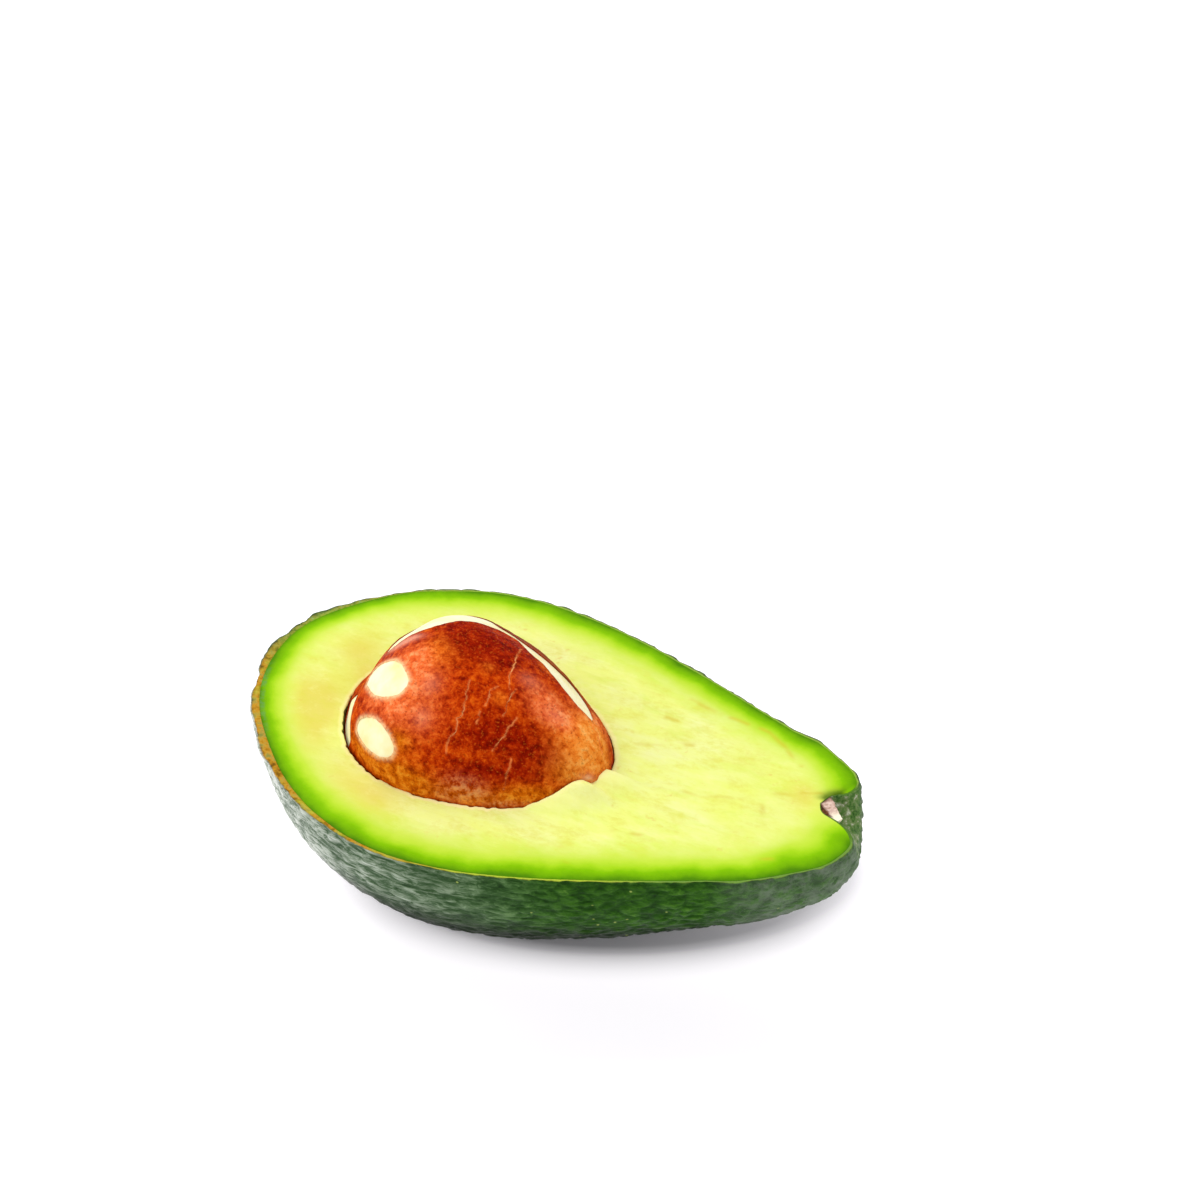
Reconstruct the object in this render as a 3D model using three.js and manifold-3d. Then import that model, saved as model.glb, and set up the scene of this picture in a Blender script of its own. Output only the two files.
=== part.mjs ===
// Half an avocado, cut lengthwise through the middle and lying on its back with the seed still in it.
// X runs along the fruit from the blunt end to the neck, Z is up, and the cut face is level.
// The origin is in the middle of the small flat spot that the half rests on.
import * as THREE from 'three';
import { mergeVertices } from 'three/addons/utils/BufferGeometryUtils.js';
import Module from 'manifold-3d';

// The fruit, in millimetres. Stations are [share of the length from the blunt end, half width there].
const FRUIT_LENGTH = 112;
const BLUNT_END = -45;
const FRUIT_STATIONS = [[0.1, 22], [0.37, 33.8], [0.65, 27.1], [0.9, 15.2]];
const BLUNT_DEPTH_RATIO = 0.95;
const NECK_DEPTH_RATIO = 1.15;
const NECK_SWAY = 5.2;
const SWAY_START = 0.42;
const CUT_HEIGHT = 33.7;
const SKIN_WALL = 1.0;
const GAP = 0.3;

// The pit at the end of the neck where the stem sat: [x, radius] from its floor out past the neck.
const PIT_AXIS_Y = 7.2;
const PIT_WALL = [[57.6, 2.2], [60.9, 3.6], [63.5, 5.6], [68, 11]];
const STUB_LENGTH = 3.2;
const STUB_RADIUS = 1.8;

// The seed, with its blunt end toward the blunt end of the fruit.
const SEED_LENGTH = 47.8;
const SEED_BLUNT_END = -26.4;
const SEED_STATIONS = [[0.15, 14.7], [0.5, 18.5], [0.85, 11]];
const SEED_AXIS_Y = -0.4;
const SEED_AXIS_DROP = 1.0;
const COAT_WALL = 0.5;

// Places where the papery coat has come off the seed: centre from the seed's axis, and radius.
const BARE_PATCHES = [
  { x: -15.8, y: -8.1, z: 14.7, radius: 3.9 },
  { x: -15.1, y: -15.3, z: 7.7, radius: 3.7 },
  { x: 10.8, y: 4.8, z: 12.6, radius: 2.2 },
];

const ROUND_SIDES = 36;
const FRUIT_RINGS = 22;
const SEED_RINGS = 14;
const STUB_SIDES = 12;
const PATCH_SIDES = 14;
const FAR = 200;

const wasm = await Module();
wasm.setup();

// A closed geometry as a solid that can be joined and cut.
function solidOf(geometry) {
  const bare = geometry.clone();
  bare.deleteAttribute('normal');
  bare.deleteAttribute('uv');
  const merged = mergeVertices(bare, 1e-4);
  const corners = merged.index.array;
  const triangles = [];
  for (let i = 0; i < corners.length; i += 3) {
    const [a, b, c] = [corners[i], corners[i + 1], corners[i + 2]];
    if (a !== b && b !== c && c !== a) triangles.push(a, b, c);
  }
  return new wasm.Manifold(new wasm.Mesh({
    numProp: 3,
    vertProperties: new Float32Array(merged.attributes.position.array),
    triVerts: new Uint32Array(triangles),
  }));
}

// A finished solid as a named mesh.
function meshOf(name, solid, look) {
  const found = solid.getMesh();
  const geometry = new THREE.BufferGeometry();
  geometry.setAttribute('position', new THREE.BufferAttribute(found.vertProperties, found.numProp));
  geometry.setIndex(new THREE.BufferAttribute(found.triVerts, 1));
  geometry.computeVertexNormals();
  const mesh = new THREE.Mesh(geometry, new THREE.MeshStandardMaterial(look));
  mesh.name = name;
  return mesh;
}

// The half width at a share of the length: a semicircle's roundness at both ends, times the one polynomial
// that passes through the stations.
function halfWidth(stations, share) {
  const roundness = (s) => Math.sqrt(s * (1 - s));
  let fullness = 0;
  for (const [here, width] of stations) {
    let weight = 1;
    for (const [other] of stations) {
      if (other !== here) weight *= (share - other) / (here - other);
    }
    fullness += weight * width / roundness(here);
  }
  return roundness(share) * fullness;
}

// Points of a lathe profile from one pole to the other, as (radius, distance along the axis),
// moved inward by inset along the normal.
function roundProfile(stations, start, length, rings, inset) {
  const pointAt = (angle) => {
    const share = (1 - Math.cos(angle)) / 2;
    return new THREE.Vector2(halfWidth(stations, share), start + share * length);
  };
  const step = 1e-3;
  const profile = [new THREE.Vector2(0, start + inset)];
  for (let i = 1; i < rings; i += 1) {
    const angle = Math.PI * i / rings;
    const along = pointAt(angle + step).sub(pointAt(angle - step)).normalize();
    profile.push(pointAt(angle).add(new THREE.Vector2(-along.y, along.x).multiplyScalar(inset)));
  }
  profile.push(new THREE.Vector2(0, start + length - inset));
  return profile;
}

// A lathe turned so that its axis lies along X.
function turnedBody(profile, sides) {
  return new THREE.LatheGeometry(profile, sides).rotateZ(-Math.PI / 2);
}

// The fruit's body with its skin pared away by inset: swayed toward the neck, and deeper there.
function fruitBody(inset) {
  const profile = roundProfile(FRUIT_STATIONS, BLUNT_END, FRUIT_LENGTH, FRUIT_RINGS, inset);
  const body = turnedBody(profile, ROUND_SIDES);
  const places = body.attributes.position;
  for (let i = 0; i < places.count; i += 1) {
    const share = (places.getX(i) - BLUNT_END) / FRUIT_LENGTH;
    const sway = NECK_SWAY * ((share - SWAY_START) / (1 - SWAY_START)) ** 2;
    const depthRatio = BLUNT_DEPTH_RATIO + share * (NECK_DEPTH_RATIO - BLUNT_DEPTH_RATIO);
    places.setY(i, places.getY(i) + sway);
    places.setZ(i, places.getZ(i) * depthRatio);
  }
  body.translate(0, 0, CUT_HEIGHT);
  return solidOf(body).subtract(pitCutter(inset));
}

// What is taken out of the end of the neck, widened by margin on every side.
function pitCutter(margin) {
  const [floorX] = PIT_WALL[0];
  const [mouthX] = PIT_WALL[PIT_WALL.length - 1];
  const wall = PIT_WALL.map(([x, radius], i) => {
    return new THREE.Vector2(radius + margin, i === 0 ? x - margin : x);
  });
  const profile = [new THREE.Vector2(0, floorX - margin), ...wall, new THREE.Vector2(0, mouthX)];
  return solidOf(turnedBody(profile, ROUND_SIDES).translate(0, PIT_AXIS_Y, CUT_HEIGHT));
}

// Everything between two heights.
function slab(low, high) {
  return solidOf(new THREE.BoxGeometry(FAR, FAR, high - low).translate(0, 0, (low + high) / 2));
}

// The seed's body, moved inward by inset.
function seedBody(inset) {
  const profile = roundProfile(SEED_STATIONS, SEED_BLUNT_END, SEED_LENGTH, SEED_RINGS, inset);
  return solidOf(turnedBody(profile, ROUND_SIDES).translate(0, SEED_AXIS_Y, CUT_HEIGHT - SEED_AXIS_DROP));
}

const belowCut = slab(0, CUT_HEIGHT);

// The skin: one leathery wall all over the outside, turned in over the pit, and flat where the half rests.
function makeSkin() {
  const solid = fruitBody(0).subtract(fruitBody(SKIN_WALL)).intersect(belowCut);
  return meshOf('skin', solid, { color: 0x2c5a24, roughness: 0.45, metalness: 0 });
}

// The flesh, with the cavity that the seed grew in.
function makeFlesh() {
  const solid = fruitBody(SKIN_WALL + GAP).subtract(seedBody(-GAP)).intersect(belowCut);
  return meshOf('flesh', solid, { color: 0xdcee7a, roughness: 0.5, metalness: 0 });
}

// The seed's coat, a thin shell with the bare patches open.
function makeSeedCoat() {
  let solid = seedBody(0).subtract(seedBody(COAT_WALL));
  for (const { x, y, z, radius } of BARE_PATCHES) {
    const patch = new THREE.SphereGeometry(radius, PATCH_SIDES, PATCH_SIDES / 2);
    patch.translate(x, SEED_AXIS_Y + y, CUT_HEIGHT - SEED_AXIS_DROP + z);
    solid = solid.subtract(solidOf(patch));
  }
  return meshOf('seed_coat', solid, { color: 0x8a3410, roughness: 0.5, metalness: 0 });
}

// The seed itself, two seed leaves pressed together, inside its coat.
function makeSeed() {
  return meshOf('seed', seedBody(COAT_WALL + GAP), { color: 0xf3e6b4, roughness: 0.6, metalness: 0 });
}

// The stub of the stem, cut in half with the fruit, on the floor of the pit.
function makeStemStub() {
  const [floorX] = PIT_WALL[0];
  const stub = new THREE.CylinderGeometry(STUB_RADIUS * 0.8, STUB_RADIUS, STUB_LENGTH, STUB_SIDES);
  stub.rotateZ(-Math.PI / 2).translate(floorX + GAP + STUB_LENGTH / 2, PIT_AXIS_Y, CUT_HEIGHT);
  return meshOf('stem_stub', solidOf(stub).intersect(belowCut), { color: 0xb08c6c, roughness: 0.8, metalness: 0 });
}

const avocadoHalf = new THREE.Group();
avocadoHalf.add(makeSkin(), makeFlesh(), makeSeed(), makeSeedCoat(), makeStemStub());

export default avocadoHalf;
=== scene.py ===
# Half an avocado lying on its back, cut face up, with its seed still in the cavity.
# Metres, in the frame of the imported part: X from the blunt end to the neck, Z up, the table at zero.
import math
import bpy
import numpy as np
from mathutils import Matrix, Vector


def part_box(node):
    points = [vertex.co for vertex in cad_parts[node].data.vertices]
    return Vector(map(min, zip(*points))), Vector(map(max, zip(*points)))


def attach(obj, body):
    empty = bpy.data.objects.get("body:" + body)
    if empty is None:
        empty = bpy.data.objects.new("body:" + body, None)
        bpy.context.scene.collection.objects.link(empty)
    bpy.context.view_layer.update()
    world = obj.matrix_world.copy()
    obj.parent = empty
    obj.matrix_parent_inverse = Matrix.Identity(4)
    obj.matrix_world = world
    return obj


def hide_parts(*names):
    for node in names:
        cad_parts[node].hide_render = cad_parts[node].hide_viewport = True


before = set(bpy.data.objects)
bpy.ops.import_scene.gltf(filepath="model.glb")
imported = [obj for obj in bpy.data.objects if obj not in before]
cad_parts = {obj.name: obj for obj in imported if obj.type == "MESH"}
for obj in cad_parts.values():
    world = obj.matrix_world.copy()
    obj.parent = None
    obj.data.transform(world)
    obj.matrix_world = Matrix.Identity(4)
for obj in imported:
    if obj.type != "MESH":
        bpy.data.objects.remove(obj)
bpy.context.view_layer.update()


# ---------------------------------------------------------------- studio
# A white light table in a white room. A large skylight hangs behind on the left, with a weaker card
# low on the left, and the camera looks down on the cut face from the front right.
TABLE_SIZE = 6.0
# The table glows, a painted light, most of all in a ring round the fruit, and not at all where the fruit
# stands, a painted shadow under it. How strongly is given by half the distance from the middle of the
# painted shadow, in units of its radii.
PAINTED_SHADOW_MIDDLE, PAINTED_SHADOW_RADII, PAINTED_SHADOW_TURN = (0.019, 0.009, 0), (0.0455, 0.022, 1), math.radians(24.4)
PAINTED_GLOW = [(0.0, 0.0), (0.43, 0.0), (0.465, 0.16), (0.49, 0.36), (0.52, 0.50), (0.56, 0.64), (0.61, 0.72),
        (1.0, 0.42)]
ROOM_LIGHT = 0.85
LENS_MM = 100
CAMERA_PLACE = (0.1859, -0.3652, 0.4308)
CAMERA_DIP_DEGREES, CAMERA_TURN_DEGREES = 41.855, 24.435


def paint(red, green, blue):
    """A colour given from 0 to 255, as the linear values that a shader takes."""
    shares = [c / 255 for c in (red, green, blue)]
    return (*[c / 12.92 if c <= 0.04045 else ((c + 0.055) / 1.055) ** 2.4 for c in shares], 1.0)


def deselect_all():
    bpy.ops.object.select_all(action="DESELECT")


def new_finish(piece, name):
    """A new finish on the piece: its node tree and its shader."""
    finish = bpy.data.materials.new(name)
    finish.use_nodes = True
    piece.data.materials.clear()
    piece.data.materials.append(finish)
    return finish.node_tree, finish.node_tree.nodes["Principled BSDF"]


# From here on, tree is the node tree of the finish being mixed, and shader is its shader.
def feed(node, feeds):
    """Feeds a node's sockets, each with a value or from another node's socket."""
    for socket, value in feeds.items():
        if isinstance(value, bpy.types.NodeSocket):
            tree.links.new(value, node.inputs[socket])
        else:
            node.inputs[socket].default_value = value


def add(kind, feeds, **settings):
    """A new node in the finish, with its feeds and its settings."""
    made = tree.nodes.new(kind)
    for name, value in settings.items():
        setattr(made, name, value)
    feed(made, feeds)
    return made


def maths(how, one, other=0.0, third=0.0):
    return add("ShaderNodeMath", {0: one, 1: other, 2: third}, operation=how).outputs[0]


def times(one, other):
    return maths("MULTIPLY", one, other)


def blend_by(share, stops):
    """Colours given as paint, or greys, laid out along a share from 0 to 1."""
    made = add("ShaderNodeValToRGB", {"Fac": share})
    ramp = made.color_ramp
    while len(ramp.elements) < len(stops):
        ramp.elements.new(0.5)
    for element, (at, colour) in zip(ramp.elements, stops):
        element.position = at
        element.color = paint(*colour) if isinstance(colour, tuple) else (colour, colour, colour, 1)
    return made.outputs["Color"]


deselect_all()
bpy.ops.mesh.primitive_plane_add(size=TABLE_SIZE, location=(0, 0, 0))
table = bpy.context.object
table.name = "table"
tree, shader = new_finish(table, "white_table")
own = add("ShaderNodeTexCoord", {}).outputs["Object"]
stand = {"Vector": own, "Location": PAINTED_SHADOW_MIDDLE, "Rotation": (0, 0, PAINTED_SHADOW_TURN), "Scale": PAINTED_SHADOW_RADII}
on_stand = add("ShaderNodeMapping", stand, vector_type="TEXTURE").outputs[0]
away = add("ShaderNodeVectorMath", {0: on_stand}, operation="LENGTH").outputs["Value"]
# The glow is painted light, and the unlit patch in it is a painted shadow under the fruit.
feed(shader, {"Emission Strength": blend_by(times(away, 0.5), PAINTED_GLOW), "Emission Color": (1, 0.98, 1, 1),
              "Base Color": (0.75, 0.73, 0.77, 1), "Roughness": 0.6})


def soft_box(name, place, size, power):
    """A rectangular lamp that faces the fruit."""
    lamp = bpy.data.lights.new(name, "AREA")
    lamp.shape = "RECTANGLE"
    lamp.size, lamp.size_y = size
    lamp.energy = power
    box = bpy.data.objects.new(name, lamp)
    box.location = place
    box.rotation_euler = (-Vector(place)).to_track_quat("-Z", "Y").to_euler()
    bpy.context.scene.collection.objects.link(box)


soft_box("skylight", (-0.70, 0.30, 1.80), (1.60, 1.60), 16.0)
soft_box("card_left", (-1.20, -0.60, 0.50), (0.80, 0.60), 4.0)

room = bpy.data.worlds.new("white_room")
room.use_nodes = True
room.node_tree.nodes["Background"].inputs["Color"].default_value = (1, 1, 1, 1)
room.node_tree.nodes["Background"].inputs["Strength"].default_value = ROOM_LIGHT
bpy.context.scene.world = room
bpy.context.scene.view_settings.view_transform = "Standard"

lens = bpy.data.cameras.new("camera")
lens.lens = LENS_MM
camera = bpy.data.objects.new("camera", lens)
camera.location = CAMERA_PLACE
camera.rotation_euler = (math.radians(90 - CAMERA_DIP_DEGREES), 0, math.radians(CAMERA_TURN_DEGREES))
bpy.context.scene.collection.objects.link(camera)
bpy.context.scene.camera = camera


# ---------------------------------------------------------------- peel
# The peel: a leathery wall, about half a millimetre thick and pebbled outside, turned in over the pit
# at the neck. It grew in one with the flesh, and the knife cut both off level.
skin_low, skin_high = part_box("skin")
CUT_HEIGHT = skin_high.z
BLUNT_END = skin_low.x
FRUIT_LENGTH = 0.112
FRUIT_STATIONS = [(0.1, 0.0220), (0.37, 0.0338), (0.65, 0.0271), (0.9, 0.0152)]
BLUNT_DEPTH_RATIO, NECK_DEPTH_RATIO, NECK_FULLNESS = 0.95, 1.15, 0.10
NECK_SWAY, SWAY_START = 0.0052, 0.42
PEEL_WALL, WOODY_WALL = 0.00055, 0.0010
# Past this share of the length the outline follows rings down the neck, over the lip and into the
# pit: place along, radius, how far the middle lies to the side, and how much the ring slants.
NECK_START = 0.82
NECK_RINGS = [(0.0500, 0.0186, 0.0031, 0.03), (0.0535, 0.0169, 0.0044, 0.10), (0.0570, 0.0145, 0.0060, 0.24),
              (0.0600, 0.0124, 0.0067, 0.30), (0.0625, 0.0098, 0.0072, 0.27), (0.0637, 0.0072, 0.0075, 0.29),
              (0.0635, 0.0058, 0.0074, 0.30), (0.0627, 0.0044, 0.0074, 0.33), (0.0614, 0.0034, 0.0074, 0.34),
              (0.0597, 0.0028, 0.0075, 0.25), (0.0579, 0.0021, 0.0073, 0.05), (0.0571, 0.0, 0.0072, 0.0)]
NECK_CHIN = 0.0013
PEEL_CREASE = 55
TABLE_STEPS = 3000
PEEL_SQUARES, FINER_CUTS = 42, 3
# The peel starts as half a cube from -1 to 1 with a smaller half cube inside it. The cut edge of the
# wall lies between them, in rings of these sizes.
WALL_SIZES = (0.975, 0.94, 0.9)
INSIDE_SIZE = 0.9
INSIDE_DROP = 0.02
NORMAL_STEP = 0.0005
# Random patterns repeat after this many cells, and start well away from the fruit.
PATTERN_CELLS = 32
PATTERN_START = 0.3
# Layers of random swells: height, size across and the draw that each comes from.
LUMPS = [(0.00045, 0.017, 2), (0.00016, 0.0075, 3)]
CUT_WAVES = [(0.00016, 0.016, 5), (0.00004, 0.005, 6)]
BURRS = [(0.00080, 0.0050, 7), (0.00040, 0.0024, 10)]
# The relief's parts: how big across, how far they wander, and how much they are drawn out lengthwise.
RIDGE_SIZE, PEBBLE_SIZE, FINE_SIZE, WANDER_SIZE = 0.0016, 0.0019, 0.0008, 0.0045
RIDGE_WANDER, PEBBLE_WANDER = 0.0011, 0.0006
RIDGE_STRETCH, PEBBLE_STRETCH = (0.42, 1, 1), (0.5, 1, 1)
RELIEF_HEIGHT = 0.00045
CUT_EDGE_DROP = 0.00006


def half_width(share, stations):
    """Half width at a share of the length: round ends, times one polynomial through the stations."""
    fullness = 0
    for here, width in stations:
        weight = width / math.sqrt(here * (1 - here))
        for other, _ in stations:
            if other != here:
                weight = weight * (share - other) / (here - other)
        fullness = fullness + weight
    return np.sqrt(np.clip(share * (1 - share), 0, None)) * fullness


def evenly_spaced(path, count):
    """count points along a path, at equal steps of its first columns, which are its place."""
    travelled = np.concatenate([[0], np.cumsum(np.linalg.norm(np.diff(path[:, :3], axis=0), axis=1))])
    wanted = np.linspace(0, travelled[-1], count)
    return np.stack([np.interp(wanted, travelled, column) for column in path.T], 1)


def rounded(corners, passes=4):
    """Cuts the corners off an open path again and again, and keeps its two ends."""
    path = np.array(corners, float)
    for _ in range(passes):
        near, far = path[:-1], path[1:]
        middle = np.stack([0.75 * near + 0.25 * far, 0.25 * near + 0.75 * far], 1).reshape(-1, path.shape[1])
        path = np.concatenate([path[:1], middle, path[-1:]])
    return path


def pared(path, depth):
    """The path moved in by depth along its own normal."""
    along = np.gradient(path[:, :2], axis=0)
    along /= np.linalg.norm(along, axis=1)[:, None] + 1e-12
    inner = path.copy()
    inner[:, :2] += depth * np.stack([along[:, 1], -along[:, 0]], 1)
    inner[[0, -1], 1] = 0
    return inner


def smoothstep(low, high, value):
    part = np.clip((value - low) / (high - low), 0, 1)
    return part * part * (3 - 2 * part)


# The half outline of the whole fruit, by the angle turned about its middle from the blunt end to the
# neck, with how far its middle lies to the side and how much it slants. It ends on the pit's floor.
fruit_turn = np.linspace(0, math.pi, TABLE_STEPS)
body_turn = fruit_turn[fruit_turn < math.acos(1 - 2 * NECK_START)]
body_share = (1 - np.cos(body_turn)) / 2
body_side = NECK_SWAY * ((body_share - SWAY_START) / (1 - SWAY_START)) ** 2
body_path = np.stack([BLUNT_END + body_share * FRUIT_LENGTH, half_width(body_share, FRUIT_STATIONS),
                      body_side, 0 * body_share], 1)
neck_path = evenly_spaced(rounded([body_path[-1], *NECK_RINGS]), TABLE_STEPS - len(body_turn) + 1)
fruit_path = np.concatenate([body_path, neck_path[1:]])
fruit_share = np.clip((fruit_path[:, 0] - BLUNT_END) / FRUIT_LENGTH, 0, 1)
fruit_depth = BLUNT_DEPTH_RATIO + fruit_share * (NECK_DEPTH_RATIO - BLUNT_DEPTH_RATIO)
fruit_depth += NECK_FULLNESS * smoothstep(0.70, 1.0, fruit_share)
lip_turn = fruit_turn[fruit_path[:, 0].argmax()]


def turn_of(ball):
    """The angle of each point of a ball about its middle, from the blunt end."""
    return np.arccos(np.clip(-ball[:, 0], -1, 1))


def unit(vectors):
    return vectors / (np.linalg.norm(vectors, axis=1)[:, None] + 1e-12)


def carried(ball, turns, path, depth, height):
    """Where each point of a ball of radius one lands on a body, given the body's half outline."""
    turn = turn_of(ball)
    roll = np.arctan2(ball[:, 2], ball[:, 1])
    along, radius, side, slant = (np.interp(turn, turns, column) for column in path.T)
    across = radius * np.cos(roll)
    rise = radius * np.sin(roll) * np.interp(turn, turns, depth)
    return np.stack([along - slant * across, side + across, height + rise], 1)


def chin(ball):
    """Under the cut, the end of the neck stands further out."""
    turn = turn_of(ball)
    down = np.clip(-ball[:, 2], 0, None) / (np.hypot(ball[:, 1], ball[:, 2]) + 1e-9)
    near_lip = smoothstep(lip_turn - 0.5, lip_turn, turn) * smoothstep(math.pi, lip_turn + 0.1, turn)
    return NECK_CHIN * np.sqrt(down) * near_lip


def fruit_surface(ball):
    """The smooth outside of the fruit for each point of a ball, and the way out from it."""
    outside = carried(ball, fruit_turn, fruit_path, fruit_depth, CUT_HEIGHT)
    outward = outside - carried(ball, fruit_turn, pared(fruit_path, NORMAL_STEP), fruit_depth, CUT_HEIGHT)
    outward[:, 2] *= smoothstep(0, 0.01, np.abs(ball[:, 2]))
    outside[:, 0] += chin(ball)
    return outside, unit(outward)


def swells(points, size, seed):
    """Smooth random swells about size across, from -1 to 1."""
    lattice = np.random.default_rng(seed).uniform(-1, 1, (PATTERN_CELLS,) * 3)
    cell = (points + PATTERN_START) / size
    corner = np.floor(cell).astype(int)
    part = cell - corner
    part = part ** 3 * (part * (part * 6 - 15) + 10)
    total = np.zeros(len(points))
    for step in np.ndindex(2, 2, 2):
        x, y, z = ((corner + step) % PATTERN_CELLS).T
        total += np.abs(1 - np.array(step) - part).prod(1) * lattice[x, y, z]
    return total


def layered(points, layers):
    return sum(height * swells(points, size, seed) for height, size, seed in layers)


def shifts(points, size, seed):
    """Smooth random shifts along X, Y and Z, each from -1 to 1."""
    return np.stack([swells(points, size, seed + axis) for axis in range(3)], 1)


def pebbles(points, size, seed):
    """How far inside its own pebble each point lies, 0 on the seams between pebbles."""
    jitter = np.random.default_rng(seed).uniform(0, 1, (PATTERN_CELLS,) * 3 + (3,))
    cell = (points + PATTERN_START) / size
    corner = np.floor(cell).astype(int)
    closest = np.full(len(points), 9.0)
    second = np.full(len(points), 9.0)
    for step in np.ndindex(3, 3, 3):
        home = corner + np.array(step) - 1
        x, y, z = (home % PATTERN_CELLS).T
        away = np.linalg.norm(home + jitter[x, y, z] - cell, axis=1)
        second = np.minimum(second, np.maximum(closest, away))
        closest = np.minimum(closest, away)
    return second - closest


def corners_of(piece):
    flat = np.empty(len(piece.data.vertices) * 3)
    piece.data.vertices.foreach_get("co", flat)
    return flat.reshape(-1, 3)


def move_corners(piece, places):
    piece.data.vertices.foreach_set("co", np.asarray(places, float).ravel())
    piece.data.update()


def note(piece, name, values):
    """Keeps one number at each corner, for the finish to read."""
    kept = piece.data.attributes.new(name, "FLOAT", "POINT")
    kept.data.foreach_set("value", np.asarray(values, np.float32))


def choose(piece, *others):
    """Selects these pieces and nothing else, and makes the first one active."""
    deselect_all()
    for each in (piece, *others):
        each.select_set(True)
    bpy.context.view_layer.objects.active = piece


def leave_edit_mode():
    bpy.ops.object.mode_set(mode="OBJECT")


def open_up(piece):
    """Opens the piece in edit mode with all of it selected."""
    choose(piece)
    bpy.ops.object.mode_set(mode="EDIT")
    bpy.ops.mesh.select_all(action="SELECT")


def pick(piece, chosen):
    """Opens the piece in edit mode with these corners selected."""
    choose(piece)
    bpy.ops.object.mode_set(mode="EDIT")
    bpy.ops.mesh.select_mode(type="VERT")
    bpy.ops.mesh.select_all(action="DESELECT")
    leave_edit_mode()
    piece.data.vertices.foreach_set("select", np.asarray(chosen, bool))
    bpy.ops.object.mode_set(mode="EDIT")


def select_open_edges():
    bpy.ops.mesh.select_all(action="DESELECT")
    bpy.ops.mesh.select_non_manifold(extend=False, use_wire=False, use_boundary=True, use_multi_face=False,
                                     use_non_contiguous=False, use_verts=False)


def face_outwards(piece):
    open_up(piece)
    bpy.ops.mesh.normals_make_consistent(inside=False)
    leave_edit_mode()


def shade_smooth(piece, crease):
    """Shades the piece smooth, but for edges sharper than crease in degrees."""
    choose(piece)
    bpy.ops.object.shade_smooth_by_angle(angle=math.radians(crease))


def block_of_squares(name, squares, size=2.0):
    """A cube whose six sides are cut into squares."""
    deselect_all()
    bpy.ops.mesh.primitive_cube_add(size=size)
    block = bpy.context.object
    block.name = block.data.name = name
    bpy.ops.object.mode_set(mode="EDIT")
    bpy.ops.mesh.subdivide(number_cuts=squares - 1)
    leave_edit_mode()
    return block


def blown_up(corners):
    """A cube's corners moved out to a ball of radius one in even steps, and each one's size of cube."""
    size = np.abs(corners).max(1)
    spread = np.tan(corners / size[:, None] * math.pi / 4)
    return spread / np.linalg.norm(spread, axis=1)[:, None], size


peel = block_of_squares("peel", PEEL_SQUARES)
upper_half = corners_of(peel)[:, 2] > 0.001
pick(peel, upper_half)
bpy.ops.mesh.delete(type="VERT")
bpy.ops.mesh.select_all(action="SELECT")
bpy.ops.mesh.subdivide(number_cuts=FINER_CUTS)
select_open_edges()
previous = 1.0
for wall_size in WALL_SIZES:
    bpy.ops.mesh.extrude_edges_indiv()
    narrower = wall_size / previous
    bpy.ops.transform.resize(value=(narrower, narrower, 1), center_override=(0, 0, 0))
    previous = wall_size
bpy.ops.mesh.extrude_edges_indiv()
bpy.ops.transform.translate(value=(0, 0, -INSIDE_DROP))
leave_edit_mode()

inside = block_of_squares("peel_inside", PEEL_SQUARES, 2 * INSIDE_SIZE)
pick(inside, corners_of(inside)[:, 2] > -INSIDE_DROP)
bpy.ops.mesh.delete(type="VERT")
leave_edit_mode()
choose(peel, inside)
bpy.ops.object.join()
bpy.ops.object.mode_set(mode="EDIT")
select_open_edges()
bpy.ops.mesh.bridge_edge_loops()
leave_edit_mode()
face_outwards(peel)


def lumps(outside):
    """The slow swells that the peel and the flesh under it share."""
    return layered(outside, LUMPS)


def peel_wall(ball):
    """The peel is thicker round the blunt end, where it is woody, and thin as paper in the pit."""
    thin = smoothstep(lip_turn, lip_turn + 0.25, turn_of(ball))
    near_woody = smoothstep(0.72, 1.10, -ball[:, 0] - 0.45 * ball[:, 1])
    woody = np.maximum(near_woody, 0.45 * smoothstep(0.70, 0.92, -ball[:, 0]))
    return PEEL_WALL * (1 - 0.75 * thin) + WOODY_WALL * woody


def peel_relief(outside):
    """Pebbles and winding ridges that run along the fruit, from 0 in the seams to about 1 on top."""
    along = outside * RIDGE_STRETCH
    wander = shifts(along, WANDER_SIZE, 11)
    bent = along + RIDGE_WANDER * wander
    ridges = 1 - np.abs(swells(bent, RIDGE_SIZE, 14)) * 2.2
    seams_in = pebbles(outside * PEBBLE_STRETCH + PEBBLE_WANDER * wander, PEBBLE_SIZE, 15)
    cobbles = smoothstep(0.0, 0.42, seams_in)
    fine = swells(bent, FINE_SIZE, 16)
    return np.clip(0.42 * cobbles + 0.48 * np.clip(ridges, 0, 1) + 0.14 * fine, 0, 1.1)


def cut_wave(places):
    """The knife didn't run dead level: how far the cut face stands off, at each place."""
    return layered(places * (1, 1, 0), CUT_WAVES)


ball, cube_size = blown_up(corners_of(peel))
depth_in = (1 - cube_size) / (1 - INSIDE_SIZE)
outside, outward = fruit_surface(ball)
relief = peel_relief(outside)
in_pit = smoothstep(lip_turn - 0.01, lip_turn + 0.05, turn_of(ball))
woody = smoothstep(0.55, 1.0, -ball[:, 0])
raised = RELIEF_HEIGHT * (relief - 0.5) * (1 - 0.7 * in_pit) * (1 - 0.4 * woody)
raised += woody * layered(outside, BURRS)
stand_off = lumps(outside) + raised * (1 - depth_in) ** 2 - peel_wall(ball) * depth_in
places = outside + outward * stand_off[:, None]
on_cut = smoothstep(-0.03, 0.0, ball[:, 2])
places[:, 2] += on_cut * cut_wave(places) - CUT_EDGE_DROP * on_cut * (np.abs(depth_in - 0.5) * 2) ** 3
places[:, 2] = np.maximum(places[:, 2], peel_wall(ball) * depth_in)
move_corners(peel, places)

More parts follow.
